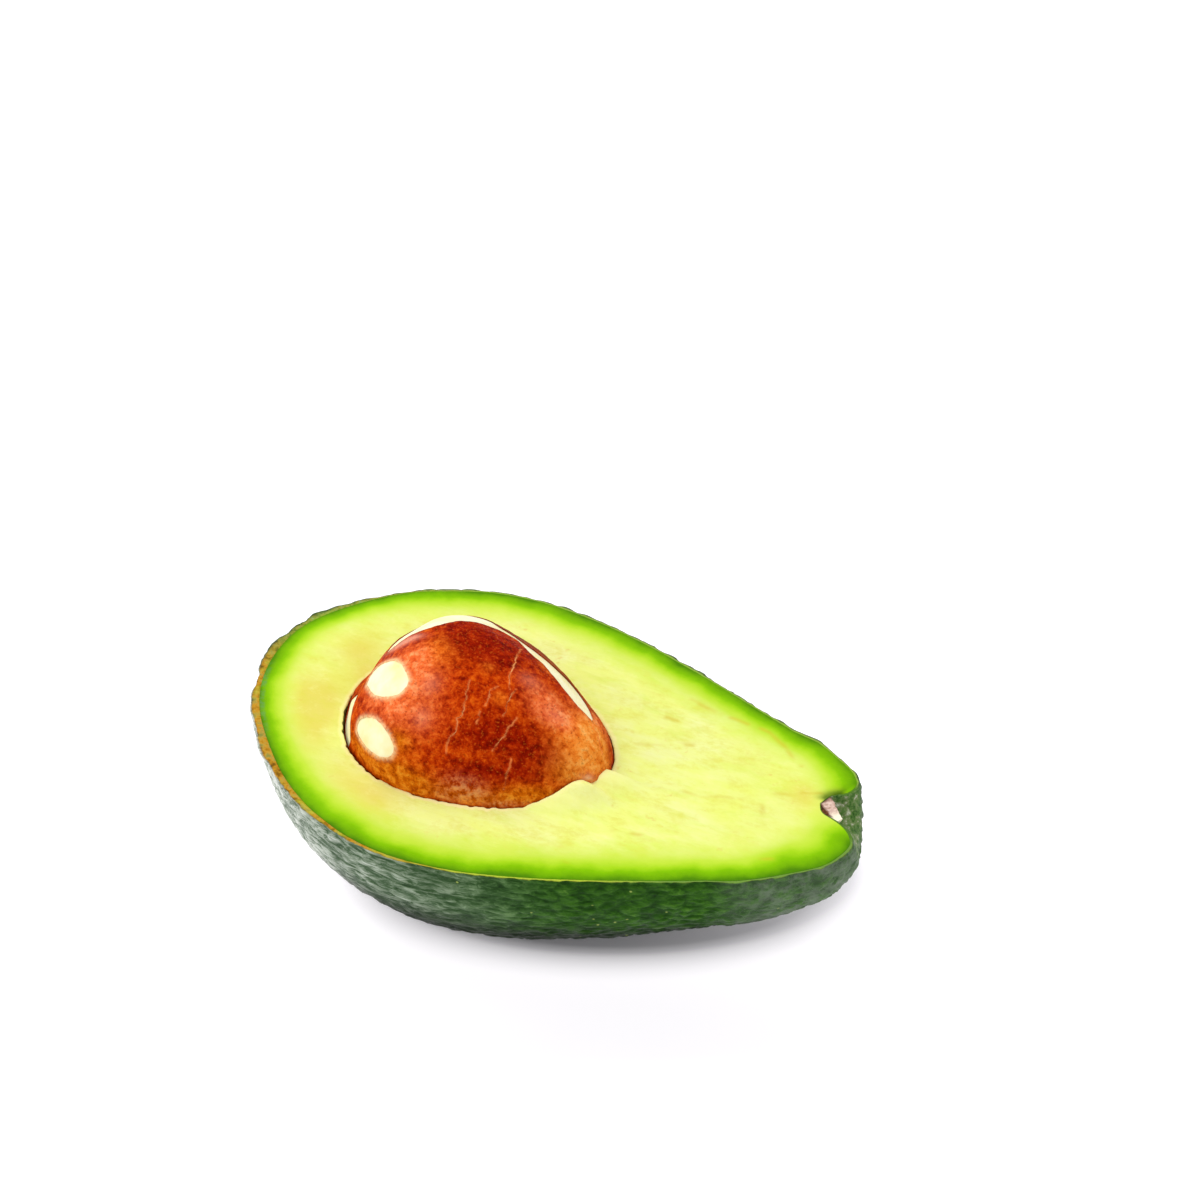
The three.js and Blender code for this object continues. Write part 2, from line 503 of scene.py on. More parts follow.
# What the finish reads at each corner: how much of each mark lies there, mostly from 0 to 1.
x, y, z = places.T
ball_x, ball_y, ball_z = ball.T
near_side = smoothstep(0.2, -0.2, ball_y)
woody_edge = smoothstep(0.45 - 0.5 * near_side, 0.85 - 0.5 * near_side, -ball_x)
# painted glare: the near left flank whitened on its ridges, as a grazing side light would light it
glare_zone = smoothstep(0.40, 0.82, -ball_x - 0.25 * ball_z) * smoothstep(-0.05, -0.40, ball_y)
note(peel, "relief", relief)
note(peel, "cut_share", np.where(on_cut > 0.99, depth_in, 0) * (depth_in > 0.01))
note(peel, "woody", woody_edge * (0.7 + 0.3 * near_side))
note(peel, "neck", smoothstep(0.028, 0.042, x))
# painted shade: the peel darker towards the table, where less light reaches it
note(peel, "low", smoothstep(0.025, 0.014, z))
note(peel, "tip", smoothstep(0.046, 0.058, x))
note(peel, "painted_glare", glare_zone * smoothstep(0.003, 0.014, z))
note(peel, "in_pit", in_pit)
note(peel, "far_side", 1 - near_side)
# partly the peel's waxy bloom and partly painted sheen: the near left flank lighter and greyer
note(peel, "bloom_and_sheen", smoothstep(-0.30, 0.65, -ball_x) * smoothstep(0.35, -0.35, ball_y))
shade_smooth(peel, PEEL_CREASE)


def noted(name):
    return add("ShaderNodeAttribute", {}, attribute_name=name).outputs["Fac"]


def stretched(scale=(1, 1, 1)):
    """The piece's own coordinates, scaled, so that a pattern is stretched where the scale is small."""
    own = add("ShaderNodeTexCoord", {}).outputs["Object"]
    return add("ShaderNodeMapping", {"Vector": own, "Scale": scale}).outputs[0]


def grain(where, size, detail=3, rough=0.55, warp=0.0):
    """Soft random grain about size across, from 0 to 1."""
    feeds = {"Vector": where, "Scale": 1 / size, "Detail": detail, "Roughness": rough, "Distortion": warp}
    return add("ShaderNodeTexNoise", feeds).outputs["Fac"]


def fitted(value, low, high, new_low=0.0, new_high=1.0):
    """The value from low to high, fitted to the range from new_low to new_high."""
    feeds = {"Value": value, "From Min": low, "From Max": high, "To Min": new_low, "To Max": new_high}
    return add("ShaderNodeMapRange", feeds).outputs[0]


def mixed(share, one, other):
    """One colour going over into another by a share. A plain colour is one given as paint."""
    one, other = (paint(*colour) if isinstance(colour, tuple) else colour for colour in (one, other))
    return add("ShaderNodeMix", {0: share, 6: one, 7: other}, data_type="RGBA").outputs[2]


def tinted(base, name, strength, colour):
    """The base with a colour over it, as strongly as the note of that name says."""
    return mixed(times(noted(name), strength), base, colour)


def bumped(height, distance, strength=1.0, **under):
    """Fine bumps of this height, over the bumps under them if there are any."""
    feeds = {"Height": height, "Distance": distance, "Strength": strength, **under}
    return add("ShaderNodeBump", feeds).outputs["Normal"]


tree, shader = new_finish(peel, "pebbled_peel")
own = stretched()
streak = grain(stretched((0.22, 1, 1)), 0.0008, 6, 0.74, 1.1)
shade = maths("MULTIPLY_ADD", noted("relief"), 0.50, maths("MULTIPLY_ADD", streak, 1.7, -0.60))
green = blend_by(shade, [(0.0, (14, 42, 4)), (0.35, (34, 74, 12)), (0.7, (58, 104, 24)),
                         (1.0, (92, 132, 50))])
# the colours of the waxy bloom and of the painted sheen on it
bloom_and_sheen_colours = blend_by(shade, [(0.0, (48, 70, 46)), (0.3, (88, 110, 84)), (0.55, (168, 178, 162)),
                       (0.85, (228, 232, 226))])
green = tinted(green, "bloom_and_sheen", 0.85, bloom_and_sheen_colours)
drift = grain(own, 0.011, 4)
green = mixed(fitted(drift, 0.5, 0.75, 0.0, 0.6), green, (22, 56, 12))
# painted shade: the peel darker towards the table
green = tinted(green, "low", 0.92, (2, 15, 0))
# painted glare: near white on the ridges of the near left flank
painted_glare = times(noted("painted_glare"), fitted(shade, 0.25, 0.70, 0.2, 0.95))
green = mixed(painted_glare, green, (226, 230, 222))
scuff = fitted(grain(own, 0.0032, 6, 0.70), 0.42, 0.62, 0.18, 0.65)
green = tinted(green, "tip", scuff, (122, 134, 116))

# pale specks, one to about every other cell
speck = add("ShaderNodeTexVoronoi", {"Vector": own, "Scale": 1 / 0.0030, "Randomness": 1.0})
cell_draw = add("ShaderNodeSeparateColor", {0: speck.outputs["Color"]}).outputs[0]
dot = times(fitted(speck.outputs["Distance"], 0.10, 0.05), fitted(cell_draw, 0.5, 0.55))
green = mixed(dot, green, (150, 168, 84))
hollow = blend_by(grain(own, 0.0013, 5, 0.7), [(0.36, (40, 80, 18)), (0.48, (84, 122, 52)),
                                               (0.58, (126, 140, 92)), (0.70, (216, 218, 196))])
green = tinted(green, "in_pit", 0.9, hollow)

# the cut edge of the wall, from the rind outside to the flesh inside, and cork where it is woody
cut_share = noted("cut_share")
wander = maths("ADD", cut_share, fitted(grain(own, 0.0012, 3), 0.2, 0.8, -0.25, 0.25))
near_edge = blend_by(wander, [(0.0, (78, 104, 30)), (0.3, (150, 168, 50)), (0.7, (190, 206, 66)),
                              (1.0, (140, 186, 20))])
near_edge = mixed(noted("neck"), near_edge, (112, 150, 60))
far_edge = blend_by(wander, [(0.0, (58, 76, 40)), (0.4, (112, 134, 66)), (0.7, (150, 182, 70)),
                             (1.0, (122, 168, 30))])
edge = mixed(noted("far_side"), near_edge, far_edge)
cork = blend_by(grain(own, 0.0018, 5, 0.65), [(0.30, (76, 54, 10)), (0.40, (148, 104, 16)),
                                              (0.50, (196, 142, 34)), (0.58, (180, 152, 62)),
                                              (0.68, (134, 134, 60))])
cork_far = blend_by(grain(own, 0.0009, 5, 0.75), [(0.36, (50, 66, 24)), (0.45, (98, 116, 34)),
                                                  (0.53, (164, 142, 56)), (0.61, (120, 150, 74)),
                                                  (0.72, (182, 186, 140))])
cork = mixed(noted("far_side"), cork, cork_far)
edge = tinted(edge, "woody", fitted(grain(own, 0.0045, 3), 0.36, 0.5, 0.5, 1.0), cork)
rind = mixed(noted("far_side"), (84, 66, 30), (46, 60, 32))
edge = mixed(fitted(wander, 0.26, 0.06, 0.0, 0.85), edge, rind)
edge = mixed(noted("in_pit"), edge, (84, 122, 40))
green = mixed(fitted(cut_share, 0.02, 0.2), green, edge)

ridges = bumped(grain(stretched((0.28, 1, 1)), 0.0007, 6, 0.66, 0.8), 0.00028)
pores = bumped(grain(own, 0.00025, 2), 0.00003, 0.8, Normal=ridges)
feed(shader, {"Base Color": green, "Roughness": fitted(grain(own, 0.003, 3), 0.3, 0.7, 0.36, 0.52),
              "Specular IOR Level": 0.04, "Normal": pores})

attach(peel, "root")
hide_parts("skin")


# ---------------------------------------------------------------- flesh
# The flesh: firm and buttery, green under the peel and pale yellow inside, with the cavity that the
# seed grew in. One soft body, sliced level by the knife.
seed_low, seed_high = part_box("seed_coat")
SEED_BLUNT_END, SEED_LENGTH = seed_low.x + 0.0002, 0.0482
SEED_SIDE, SEED_TIP_SIDE = -0.0007, -0.0005
SEED_HEIGHT = (seed_low.z + seed_high.z) / 2
SEED_STATIONS = [(0.15, 0.0143), (0.5, 0.0178), (0.85, 0.0115)]
# Where the top of the seed is flatter or fuller than its sides: share of the length, reach, how much.
SEED_CROWN = [(0.03, 0.05, -0.42), (0.12, 0.09, -0.12), (0.34, 0.20, 0.09), (0.84, 0.12, -0.09)]
COLUMNS = 4 * PEEL_SQUARES * (FINER_CUTS + 1)
BOWL_ROWS, LIP_ROWS, FACE_ROWS, UNDER_ROWS = 24, 5, 72, 22
LIP_RADIUS = 0.0003
CAVITY_GAP, LEFT_GAP, RIM_RAG, RAG_SIZE = 0.00010, 0.00002, 0.00034, 0.0009
PEEL_CONTACT, PEEL_CLEARANCE = 0.00002, 0.00015
KNIFE_STREAKS = 0.00003
FLESH_CREASE = 50
# Near the seed's tip the flesh clings to the seed: how far along, and degrees round from +Y over the top.
CLING = [(0.0112, 180), (0.0128, 175), (0.0146, 171), (0.0158, 167), (0.0169, 162), (0.0177, 156),
         (0.0186, 150), (0.0196, 146), (0.0201, 149), (0.0207, 153), (0.0210, 147), (0.0213, 135),
         (0.02157, 116), (0.02177, 92), (0.0219, 110), (0.0220, 180)]
CLING_SLOPE = 0.0042
# Toward this bearing the cavity is a little wider. It is given both ways round, with how far it reaches.
LEFT_BEARINGS, LEFT_REACH = (0.35 - math.pi, 0.35 + math.pi), 0.45
NEAREST_BATCH = 4000
CM_A_METRE = 100

seed_turn = np.linspace(0, math.pi, TABLE_STEPS)
seed_share = (1 - np.cos(seed_turn)) / 2
seed_side = SEED_SIDE + SEED_TIP_SIDE * (np.clip(seed_share - 0.5, 0, 1) / 0.5) ** 2
seed_path = np.stack([SEED_BLUNT_END + seed_share * SEED_LENGTH, half_width(seed_share, SEED_STATIONS),
                      seed_side, 0 * seed_share], 1)
seed_crown = sum(much * np.exp(-((seed_share - at) / reach) ** 2) for at, reach, much in SEED_CROWN)


def seed_surface(ball):
    """The smooth outside of the seed for each point of a ball, and the way out from it."""
    turn = turn_of(ball)
    roll = np.arctan2(ball[:, 2], ball[:, 1])
    fuller = 1 + np.interp(turn, seed_turn, seed_crown) * np.clip(np.sin(roll), 0, 1) ** 0.7
    places = []
    for path in (seed_path, pared(seed_path, NORMAL_STEP)):
        place = carried(ball, seed_turn, path, np.ones(TABLE_STEPS), 0)
        side = np.interp(turn, seed_turn, path[:, 2])
        middle = np.stack([place[:, 0], side, 0 * side], 1)
        places.append(middle + (place - middle) * fuller[:, None] + (0, 0, SEED_HEIGHT))
    return places[0], unit(places[0] - places[1])


def nearest(points, marks):
    """How far each point is from the nearest of the marks."""
    found = np.empty(len(points))
    for start in range(0, len(points), NEAREST_BATCH):
        part = points[start:start + NEAREST_BATCH]
        found[start:start + NEAREST_BATCH] = np.sqrt(((part[:, None] - marks[None]) ** 2).sum(2).min(1))
    return found


def beside(points, marks, reach):
    """1 at the marks, fading out over about reach."""
    return np.exp(-(nearest(points, marks) / reach) ** 2)


def ball_at(bearing, dip):
    """A point of the ball by its bearing round the middle and its dip below it."""
    return np.stack([np.cos(bearing) * np.cos(dip), np.sin(bearing) * np.cos(dip), -np.sin(dip)], 1)


def under_peel(ball, gap):
    """Where the flesh meets the peel from inside, or stays clear of it by a gap."""
    outside, outward = fruit_surface(ball)
    return outside + outward * (lumps(outside) - peel_wall(ball) - PEEL_CONTACT - gap)[:, None]


# The rows of a ball, from its top down, become the cavity, the lip, the cut face and the underside.
rows = BOWL_ROWS + LIP_ROWS + FACE_ROWS + UNDER_ROWS
deselect_all()
bpy.ops.mesh.primitive_uv_sphere_add(segments=COLUMNS, ring_count=rows, radius=1)
flesh = bpy.context.object
flesh.name = flesh.data.name = "flesh_half"
round_ball = corners_of(flesh)
row = np.rint(np.arccos(np.clip(round_ball[:, 2], -1, 1)) / math.pi * rows).astype(int)
bearing = np.arctan2(round_ball[:, 1], round_ball[:, 0])
bearing[(row == 0) | (row == rows)] = 0

# the cavity, from its bottom up to the lip, ragged and a little wider at the blunt end
bowl_dip = math.pi / 2 * (1 - np.clip(row / BOWL_ROWS, 0, 1)) ** 0.8
seed_wall, seed_out = seed_surface(ball_at(bearing, bowl_dip))
left_side = sum(np.exp(-((bearing - at) / LEFT_REACH) ** 2) for at in LEFT_BEARINGS)
near_left = smoothstep(-1.5, -2.0, bearing) + smoothstep(2.7, 3.0, bearing)
rag = RIM_RAG * np.clip(swells(seed_wall, RAG_SIZE, 8) + 0.3, 0, 1) * smoothstep(0.3, 0.0, bowl_dip)
rag = rag * (0.3 + 0.7 * smoothstep(-0.7, -1.1, bearing) + 0.3 * near_left)
clear = CAVITY_GAP + LEFT_GAP * left_side + rag * (1 - 0.5 * left_side)
cling_along, cling_round = np.array(rounded(CLING, 2)).T
along = SEED_BLUNT_END + (1 + np.cos(bearing)) / 2 * SEED_LENGTH
cling = np.radians(180 - np.interp(along, cling_along, cling_round)) * (bearing < 0)
cling *= smoothstep(0.55, 1.0, row / BOWL_ROWS)
clinging = ball_at(bearing, bowl_dip)
clinging[:, 1:] = np.stack([clinging[:, 1] * np.cos(cling) + clinging[:, 2] * np.sin(cling),
                            clinging[:, 2] * np.cos(cling) - clinging[:, 1] * np.sin(cling)], 1)
seed_wall, seed_out = seed_surface(clinging)
bowl = seed_wall + seed_out * clear[:, None]

# the lip, rounded over onto the cut face
lip_low = np.maximum(CUT_HEIGHT - LIP_RADIUS, bowl[:, 2])
bowl[:, 2] = np.where(row >= BOWL_ROWS, lip_low, bowl[:, 2])
lip_arc = np.clip((row - BOWL_ROWS) / LIP_ROWS, 0, 1) * math.pi / 2
rim_out = unit(seed_out * (1, 1, 0))
lip = bowl + LIP_RADIUS * (rim_out * (1 - np.cos(lip_arc))[:, None])
lip[:, 2] = lip_low + LIP_RADIUS * np.sin(lip_arc)

# the cut face, from the lip out to the peel, sloping up to the seed where the flesh clings
peel_inner = under_peel(ball_at(bearing, np.zeros(len(row))), 0)
face_start = BOWL_ROWS + LIP_ROWS
face_end = face_start + FACE_ROWS
across = np.clip((row - face_start) / FACE_ROWS, 0, 1)
face = lip + across[:, None] * (peel_inner - lip)
travel = across * np.linalg.norm((peel_inner - lip)[:, :2], axis=1)
uneven = 1 + 0.25 * np.clip(across * 20, 0, 1) * swells(lip, 0.0020, 9)
slope = np.exp(-(travel / CLING_SLOPE) ** 2) * uneven
face[:, 2] = CUT_HEIGHT + (lip[:, 2] - CUT_HEIGHT) * np.where(row <= face_start, 1, slope)

# the underside, just clear of the peel
under_dip = math.pi / 2 * np.clip((row - face_end) / UNDER_ROWS, 0, 1) ** 1.3
under_ball = ball_at(bearing, under_dip)
under = under_peel(under_ball, PEEL_CLEARANCE * smoothstep(0, 0.06, under_dip))
under[:, 2] = np.maximum(under[:, 2], peel_wall(under_ball) + PEEL_CLEARANCE)

places = np.where((row <= BOWL_ROWS)[:, None], bowl, face)
places = np.where((row > face_end)[:, None], under, places)
on_face = smoothstep(BOWL_ROWS, face_start, row) * (row <= face_end)
places[:, 2] += on_face * cut_wave(places)
streaks = swells(places * (0.18, 1, 1), 0.0011, 21) * swells(places, 0.006, 22)
off_edges = np.clip(across * 8, 0, 1) * np.clip((1 - across) * 12, 0, 1)
places[:, 2] += on_face * off_edges * KNIFE_STREAKS * streaks
move_corners(flesh, places)

from_lip = math.pi - np.abs(bearing) < lip_turn
outer_rim = places[(row == face_end) & from_lip]
inner_rim = places[row == face_start]
from_peel = np.where(row <= face_end, nearest(places, outer_rim), 0)
from_seed = nearest(places, inner_rim)


def off_line(places, start, end):
    """How far each place lies from a straight line on the cut face."""
    start, way = np.array(start), np.subtract(end, start)
    share = np.clip(((places[:, :2] - start) @ way) / (way @ way), 0, 1)
    return np.linalg.norm(places[:, :2] - start - share[:, None] * way, axis=1)


# Fine brownish strands run from the seed's tip to the stem, each along a line of places. Beside the
# seed and at the stem the flesh has browned a little, in spots with a middle and a reach.
VEINS = [
    [(0.0256, 0.0216), (0.0313, 0.0209), (0.0374, 0.0198), (0.0423, 0.0191), (0.0456, 0.0181),
     (0.0491, 0.0157), (0.0512, 0.0143)],
    [(0.0361, 0.0007), (0.0398, 0.0010), (0.0436, 0.0017), (0.0459, 0.0038), (0.0480, 0.0056),
     (0.0524, 0.0075), (0.0562, 0.0094)],
    [(0.0229, 0.0076), (0.0271, 0.0089), (0.0321, 0.0117)],
    [(0.0249, 0.0152), (0.0276, 0.0156)],
    [(0.0480, 0.0024), (0.0497, -0.0016)],
    [(0.0284, -0.0126), (0.0324, -0.0113)],
    [(0.0520, -0.0086), (0.0550, -0.0078)],
    [(0.0240, -0.0224), (0.0262, -0.0222)],
]
BROWNED = [((-0.0294, -0.0086), 0.0045), ((-0.0293, -0.0153), 0.0040), ((-0.0200, -0.0230), 0.0050),
           ((-0.0304, 0.0090), 0.0040), ((-0.0262, 0.0040), 0.0030), ((-0.0325, -0.0040), 0.0050),
           ((-0.0120, -0.0230), 0.0050), ((0.0585, -0.0004), 0.0016), ((0.0545, 0.0080), 0.0030)]
VEIN_REACH, VEIN_WANDER, VEIN_WANDER_SIZE = 0.00042, 0.0007, 0.0045
vein = 0 * from_peel
bent = places + VEIN_WANDER * shifts(places, VEIN_WANDER_SIZE, 23)
for line in VEINS:
    for start, end in zip(line[:-1], line[1:]):
        vein = np.maximum(vein, np.exp(-(off_line(bent, start, end) / VEIN_REACH) ** 2))
vein = vein * np.clip(0.5 + 1.2 * swells(places, 0.0020, 26), 0, 1)
browned = sum(np.exp(-(np.linalg.norm(places[:, :2] - at, axis=1) / reach) ** 2) for at, reach in BROWNED)

x, y, z = places.T
greener = (1 + 0.22 * smoothstep(-0.022, -0.036, x)) * (1 + 0.15 * smoothstep(0, 0.010, y)
                                                        - 0.35 * smoothstep(0.048, 0.060, x))
left_strip = smoothstep(-0.032, -0.040, x) * smoothstep(0.011, 0.004, np.abs(y + 0.009))
pit_rim = places[(row == face_end) & (math.pi - np.abs(bearing) > lip_turn + 0.1) & (bearing > 0)]
pit_side = smoothstep(0.0076, 0.0088, y) * smoothstep(0.0606, 0.0594, x)
note(flesh, "from_peel", from_peel * CM_A_METRE * greener)
note(flesh, "from_seed", from_seed * CM_A_METRE)
note(flesh, "vein", vein)
note(flesh, "browned", np.clip(browned, 0, 1))
note(flesh, "toward_ends", np.maximum(smoothstep(0.030, 0.052, x), smoothstep(-0.012, -0.030, x)))
note(flesh, "contact", (bearing < 0) * smoothstep(-0.0085, -0.0050, x) * smoothstep(0.0120, 0.0080, x))
note(flesh, "left_strip", left_strip * smoothstep(0.0007, 0.0002, np.abs(from_peel - 0.0004)))
# the cavity wall: partly stained by the seed coat, partly painted shade of the gap round the seed
note(flesh, "cavity_stain_and_shade", row <= BOWL_ROWS)
# painted light: lifts the shade of the flesh that slopes up onto the seed
note(flesh, "clung_painted_light", np.clip((z - CUT_HEIGHT - 0.0003) / 0.001, 0, 1))
# beside the pit: partly the flesh's own darker green, partly painted shade of the hollow
note(flesh, "pit_green_and_shade", beside(places, pit_rim, 0.0012) * pit_side)
face_outwards(flesh)
shade_smooth(flesh, FLESH_CREASE)

tree, shader = new_finish(flesh, "buttery_flesh")
own = stretched()
lengthwise = stretched((0.16, 1, 1))
depth_cm = maths("ADD", noted("from_peel"), fitted(grain(own, 0.006, 3), 0.3, 0.7, -0.06, 0.06))
ripe = blend_by(depth_cm, [(0.0, (76, 130, 2)), (0.10, (110, 168, 0)), (0.20, (128, 188, 0)),
                           (0.30, (162, 209, 26)), (0.40, (186, 219, 56)), (0.54, (202, 225, 80)),
                           (0.72, (214, 231, 100)), (0.86, (222, 235, 116)), (1.0, (230, 238, 130))])
ripe = tinted(ripe, "left_strip", fitted(grain(own, 0.0010, 4, 0.7), 0.42, 0.60, 0.0, 0.75), (100, 152, 78))

# Away from the peel, other colours lie over it: how strongly, and which.
clouds = grain(stretched((0.5, 1, 1)), 0.006, 4, 0.6)
dullness = grain(stretched((0.35, 1, 1)), 0.0045, 4, 0.65, 0.3)
fine = grain(stretched((0.6, 1, 1)), 0.0030, 6, 0.75)
inner_colours = {
    "cloudy": (fitted(clouds, 0.4, 0.68), (234, 238, 164)),
    "dull": (fitted(dullness, 0.52, 0.72, 0.0, 0.55), (206, 224, 78)),
    "toward_ends": (times(noted("toward_ends"), 0.45), (216, 228, 88)),
    "browned": (times(noted("browned"), 0.75), (220, 204, 92)),
    "fine_dark": (fitted(fine, 0.5, 0.68, 0.0, 0.55), (214, 210, 76)),
    "fine_light": (fitted(fine, 0.46, 0.30, 0.0, 0.4), (240, 242, 160)),
    "fibres": (fitted(grain(lengthwise, 0.0010, 4), 0.4, 0.7, 0.0, 0.18), (216, 214, 84)),
    "flecks": (fitted(grain(own, 0.0018, 2), 0.68, 0.76, 0.0, 0.3), (214, 170, 66)),
}
deep_in = fitted(noted("from_peel"), 0.45, 0.9)
for strength, colour in inner_colours.values():
    ripe = mixed(times(strength, deep_in), ripe, colour)
ripe = tinted(ripe, "vein", 0.5, (204, 180, 46))

# a pale ring round the cavity, brighter where the flesh touches the seed
ring = maths("ADD", noted("from_seed"), fitted(grain(own, 0.0016, 3), 0.3, 0.7, -0.02, 0.02))
pale = maths("MULTIPLY_ADD", noted("contact"), 0.45, 0.45)
ripe = mixed(times(fitted(ring, 0.07, 0.02), pale), ripe, (250, 238, 172))
# painted light: the flesh sloping up onto the seed made paler against its shade
ripe = tinted(ripe, "clung_painted_light", 0.4, (250, 246, 164))
# the cavity wall dark brown: partly stain from the seed coat, partly painted shade in the gap
ripe = tinted(ripe, "cavity_stain_and_shade", 0.85, (84, 56, 18))
# dark green beside the pit: partly the flesh's colour, partly painted shade of the hollow
ripe = tinted(ripe, "pit_green_and_shade", fitted(grain(own, 0.002, 3), 0.3, 0.7, 0.8, 1.0), (50, 84, 4))
feed(shader, {"Base Color": ripe, "Specular IOR Level": 0.03,
              "Subsurface Weight": 0.10, "Subsurface Radius": (1.0, 0.9, 0.35), "Subsurface Scale": 0.0012,
              "Roughness": fitted(grain(own, 0.002, 3), 0.3, 0.7, 0.42, 0.56),
              "Normal": bumped(grain(lengthwise, 0.0008, 4), 0.00008, 0.8)})

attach(flesh, "root")
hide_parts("flesh")


# ---------------------------------------------------------------- seed
# The seed itself: two fleshy seed leaves pressed together, smooth, hard and cream.
# It shows only where its coat has come away.
LEAF_SQUARES = 60
COAT_WALL, LEAF_GAP = 0.00010, 0.00003
SEED_LUMPS = [(0.00030, 0.010, 31), (0.00010, 0.0045, 32)]


def seed_lumps(outside):
    """The slow swells that the seed and its coat share."""
    return layered(outside, SEED_LUMPS)


seed = block_of_squares("seed_leaves", LEAF_SQUARES)
ball, _ = blown_up(corners_of(seed))
outside, outward = seed_surface(ball)
move_corners(seed, outside + outward * (seed_lumps(outside) - COAT_WALL - LEAF_GAP)[:, None])
choose(seed)
bpy.ops.object.shade_smooth()

# The note "crack_bed" is written with the coat's cracks, below.
tree, shader = new_finish(seed, "cream_seed_leaf")
own = stretched()
cream = mixed(fitted(grain(own, 0.004, 4), 0.4, 0.75), (244, 238, 200), (236, 222, 152))
cream = mixed(noted("crack_bed"), cream, (255, 172, 98))
feed(shader, {"Base Color": cream, "Specular IOR Level": 0.1, "Roughness": 0.5,
              "Normal": bumped(grain(own, 0.0012, 4), 0.00005, 0.6)})

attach(seed, "root")
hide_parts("seed")


# ---------------------------------------------------------------- seed coat
# The seed's coat: a papery red-brown skin, dry and brittle, that clings to the seed leaves.
# It has torn away in places and cracked in others, and shows them.
COAT_SQUARES, COAT_CUTS = 36, 3
SEED_MIDDLE = (SEED_BLUNT_END + SEED_LENGTH / 2, SEED_SIDE, SEED_HEIGHT)
RAG_SIZES = (0.0008, 0.0004)
EDGE_STEP, EDGE_RAG, EDGE_CURL, EDGE_CURL_REACH = 0.00035, 0.00010, 0.00008, 0.0006
CRACK_STEP, CRACK_RAG, CRACK_CURL, CRACK_CURL_REACH = 0.00015, 0.00028, 0.00006, 0.0004
WRINKLES = [(0.00006, 0.0018, 33), (0.00003, 0.0008, 34)]
TEAR_STEPS = 6
ROUTE_STEPS = 400
METRES_A_DEGREE = 0.0003
# A cutting wedge starts at this share of the way from the middle of the seed to its surface, a little
# under the coat, and its outer side is this many times as big, well over the coat.
WEDGE_ROOT, WEDGE_GROWTH = 0.93, 1.15
MERGE_REACH = 0.000001
COAT_CREASE = 40
# Each tear or window lies between two edges, and each crack follows a line. Their places are how far
# along the seed, and how many degrees round it from +Y over the top.
TEARS = {
    "far": ([(-0.0197, 94), (-0.0189, 86), (-0.0173, 82), (-0.0148, 83), (-0.0128, 81), (-0.0108, 76),
             (-0.0089, 70), (-0.0074, 67), (-0.0052, 62), (-0.0037, 59), (-0.0021, 56), (-0.0002, 54),
             (0.0013, 56), (0.0026, 59), (0.0039, 61), (0.0064, 61), (0.0089, 64), (0.0114, 65),
             (0.0138, 67), (0.0152, 68), (0.0172, 67)],
            [(-0.0206, 72), (-0.0197, 56), (-0.0165, 47), (-0.0120, 44), (-0.0085, 43), (-0.0064, 45),
             (-0.0047, 50), (-0.0029, 50), (-0.0011, 49), (0.0010, 51), (0.0025, 51), (0.0048, 51),
             (0.0068, 49), (0.0091, 46), (0.0112, 42), (0.0134, 41), (0.0153, 47), (0.0171, 61)]),
    "blunt": ([(-0.0221, 134), (-0.0224, 144), (-0.0219, 151), (-0.0216, 158), (-0.0211, 164),
               (-0.0207, 169)],
              [(-0.0240, 130), (-0.0252, 142), (-0.0257, 160), (-0.0256, 176), (-0.0246, 186),
               (-0.0216, 182)]),
}
WINDOWS = {
    "upper": ([(-0.0206, 118), (-0.0210, 112), (-0.0205, 107), (-0.0198, 104), (-0.0179, 104),
               (-0.0160, 105), (-0.0139, 108), (-0.0128, 111), (-0.0117, 114), (-0.0109, 117)],
              [(-0.0205, 121), (-0.0189, 126), (-0.0167, 129), (-0.0146, 129), (-0.0129, 127),
               (-0.0115, 125), (-0.0108, 120)]),
    "lower": ([(-0.0194, 154), (-0.0193, 150), (-0.0185, 146), (-0.0169, 143), (-0.0153, 142),
               (-0.0136, 143), (-0.0122, 145), (-0.0109, 148), (-0.0101, 151), (-0.0099, 153)],
              [(-0.0193, 157), (-0.0188, 159), (-0.0177, 161), (-0.0156, 162), (-0.0132, 161),
               (-0.0115, 160), (-0.0103, 158), (-0.0099, 155)]),
}
# The first number of each crack is half its width.
CRACKS = [
    (0.00012, [(0.0023, 64), (0.0027, 73), (0.0034, 80), (0.0036, 87), (0.0038, 92), (0.0044, 96),
               (0.0051, 100)]),
    (0.00008, [(0.0058, 98), (0.0056, 104), (0.0057, 108), (0.0059, 112), (0.0059, 117)]),
    (0.00007, [(-0.0012, 106), (-0.0007, 111), (-0.0007, 115), (-0.0003, 119), (-0.0003, 123),
               (-0.0003, 127), (-0.0005, 129), (-0.0002, 133), (-0.0005, 136), (-0.0010, 140),
               (-0.0011, 142), (-0.0009, 147)]),
    (0.00005, [(0.0032, 102), (0.0023, 106), (0.0027, 110), (0.0028, 113), (0.0027, 116)]),
    (0.00004, [(0.0023, 120), (0.0023, 123), (0.0025, 127)]),
    (0.00008, [(0.0079, 114), (0.0078, 117), (0.0076, 120), (0.0074, 124), (0.0074, 127),
               (0.0068, 131), (0.0065, 135), (0.0061, 139)]),
    (0.00005, [(0.0092, 141), (0.0092, 147), (0.0090, 151), (0.0090, 157), (0.0090, 163)]),
    (0.00007, [(0.0176, 70), (0.0183, 74), (0.0191, 79), (0.0199, 83), (0.0206, 90)]),
]
# By the tip the coat has lifted off the seed: how far along, degrees round, half length, half width.
FLAP, FLAP_HEIGHT = (0.0205, 145, 0.0010, 9), 0.0007


